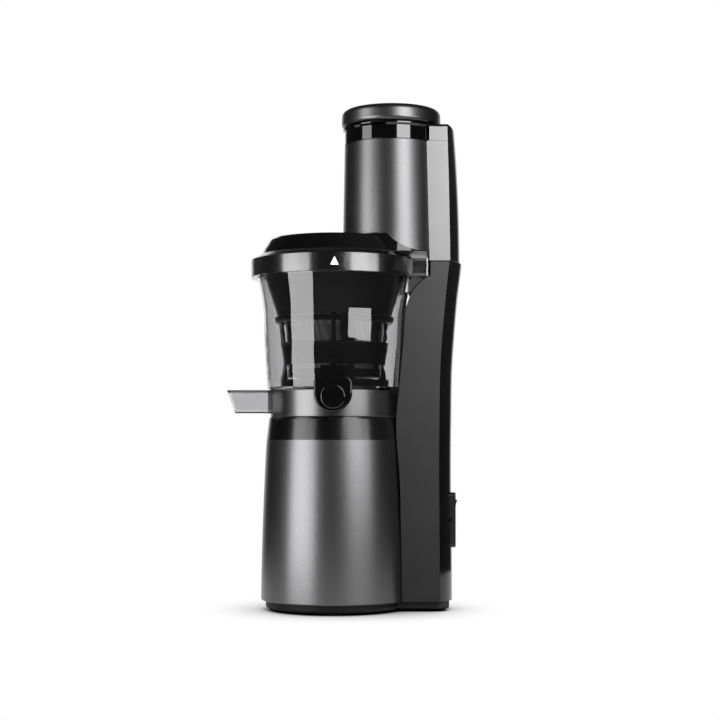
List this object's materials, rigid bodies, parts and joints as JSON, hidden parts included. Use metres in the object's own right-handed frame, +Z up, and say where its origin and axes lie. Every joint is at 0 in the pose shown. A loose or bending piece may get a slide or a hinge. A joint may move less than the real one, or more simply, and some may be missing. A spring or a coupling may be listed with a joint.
{
  "type": "cold press juicer",
  "caption": "Upright slow juicer: motor drum and tower, clear juicing bowl with strainer and auger, capped juice spout, lid with wide feed chute and pusher.",
  "frame": {"origin": "on the floor, on the axis of the drum, bowl and auger", "axes": "+Z up the drum's axis; +X towards the tower; -Y towards the juice spout, -X towards the pulp spout"},
  "size_m": [0.2099, 0.1612, 0.447],
  "materials": {
    "gunmetal_paint": "satin metallic",
    "black_gloss": "gloss",
    "dark_mirror": "mirror",
    "charcoal_plastic": "matte",
    "grey_panel": "satin",
    "smoke_clear": "clear moulded plastic",
    "stainless": "etched mesh",
    "black_plastic": "moulded",
    "silicone": "matte",
    "foot_rubber": "matte",
    "steel": "machined",
    "gear_nylon": "moulded",
    "magnet": "sintered",
    "board": "laminate",
    "white_print": "printed"
  },
  "bodies": {
    "base": {"drum_shell": "gunmetal_paint", "deck_ring": "black_gloss", "base_plinth": "charcoal_plastic", "rubber_feet": "foot_rubber", "case_screws": "steel", "tower_housing": "charcoal_plastic", "tower_back_cover": "black_gloss", "tower_cap": "black_plastic", "interlock_switch": "black_plastic", "cord_bush": "foot_rubber", "switch_bezel": "black_plastic", "circuit_board": "board", "gear_pins": "steel", "motor_can": "steel", "motor_magnets": "magnet", "brush_cap": "black_plastic", "gearbox_case": "black_plastic", "gearbox_lid": "black_plastic", "shaft_bearings": "steel", "gearbox_screws": "steel", "deck_seal": "silicone"},
    "rocker": {"rocker_button": "black_gloss"},
    "rotor": {"motor_rotor": "steel"},
    "first_gear_body": {"first_gear": "gear_nylon"},
    "second_gear_body": {"second_gear": "steel"},
    "drive": {"output_gear": "steel", "hex_shaft": "steel"},
    "bowl": {"bowl": "smoke_clear", "bowl_gasket": "silicone", "pulp_plug": "silicone", "bowl_mark": "white_print", "cap_pin": "steel", "strainer_frame": "black_plastic", "strainer_mesh": "stainless"},
    "wiper": {"wiper_frame": "black_plastic", "wiper_blades": "silicone"},
    "wiper_gear_body": {"wiper_gear": "black_plastic"},
    "auger": {"auger": "black_plastic", "auger_flight": "black_plastic", "auger_cap": "silicone"},
    "juice_cap": {"juice_cap": "black_gloss", "cap_seal": "silicone"},
    "lid": {"lid_cover": "black_gloss", "lid_funnel": "black_plastic", "lid_gasket": "silicone", "chute_sleeve": "gunmetal_paint", "chute_collar": "dark_mirror", "chute_liner": "black_plastic", "tail_panels": "grey_panel", "tail_back": "black_gloss", "interlock_tab": "black_plastic"},
    "pusher": {"pusher_flange": "gunmetal_paint", "pusher_tube": "black_plastic"}
  },
  "joints": [
    {"name": "rocker_tilt", "type": "hinge", "parent": "base", "child": "rocker", "pos_m": [0.1035, 0, 0.0805], "axis": [0, -1, 0], "range_deg": [0, 16]},
    {"name": "second_gear_spin", "type": "hinge", "parent": "base", "child": "second_gear_body", "pos_m": [0.01627, 0.0234, 0.11], "axis": [0, 0, 1], "continuous": true},
    {"name": "first_gear_spin", "type": "hinge", "parent": "base", "child": "first_gear_body", "pos_m": [0.0216, 0, 0.1], "axis": [0, 0, 1], "continuous": true},
    {"name": "rotor_spin", "type": "hinge", "parent": "base", "child": "rotor", "pos_m": [0, 0, 0.06], "axis": [0, 0, 1], "continuous": true},
    {"name": "drive_spin", "type": "hinge", "parent": "base", "child": "drive", "pos_m": [0, 0, 0.15], "axis": [0, 0, 1], "continuous": true},
    {"name": "bowl_lift", "type": "slide", "parent": "base", "child": "bowl", "axis": [0, 0, 1], "range_m": [0, 0.06]},
    {"name": "auger_spin", "type": "hinge", "parent": "bowl", "child": "auger", "pos_m": [0, 0, 0.24], "axis": [0, 0, 1], "continuous": true},
    {"name": "wiper_gear_spin", "type": "hinge", "parent": "bowl", "child": "wiper_gear_body", "pos_m": [0.0225, 0, 0.202], "axis": [0, 0, 1], "continuous": true},
    {"name": "wiper_spin", "type": "hinge", "parent": "bowl", "child": "wiper", "pos_m": [0, 0, 0.22], "axis": [0, 0, 1], "continuous": true},
    {"name": "juice_cap_swing", "type": "hinge", "parent": "bowl", "child": "juice_cap", "pos_m": [0, -0.0695, 0.2125], "axis": [-1, 0, 0], "range_deg": [0, 95]},
    {"name": "lid_lift", "type": "slide", "parent": "bowl", "child": "lid", "axis": [0, 0, 1], "range_m": [0, 0.04]},
    {"name": "pusher_lift", "type": "slide", "parent": "lid", "child": "pusher", "axis": [0, 0, 1], "range_m": [0, 0.07]}
  ],
  "couplings": [
    {"joint": "first_gear_spin", "follows": "second_gear_spin", "ratio": -4},
    {"joint": "rotor_spin", "follows": "second_gear_spin", "ratio": 20},
    {"joint": "drive_spin", "follows": "second_gear_spin", "ratio": -0.26667},
    {"joint": "auger_spin", "follows": "second_gear_spin", "ratio": -0.26667},
    {"joint": "wiper_gear_spin", "follows": "second_gear_spin", "ratio": 0.21333},
    {"joint": "wiper_spin", "follows": "second_gear_spin", "ratio": 0.07619}
  ]
}
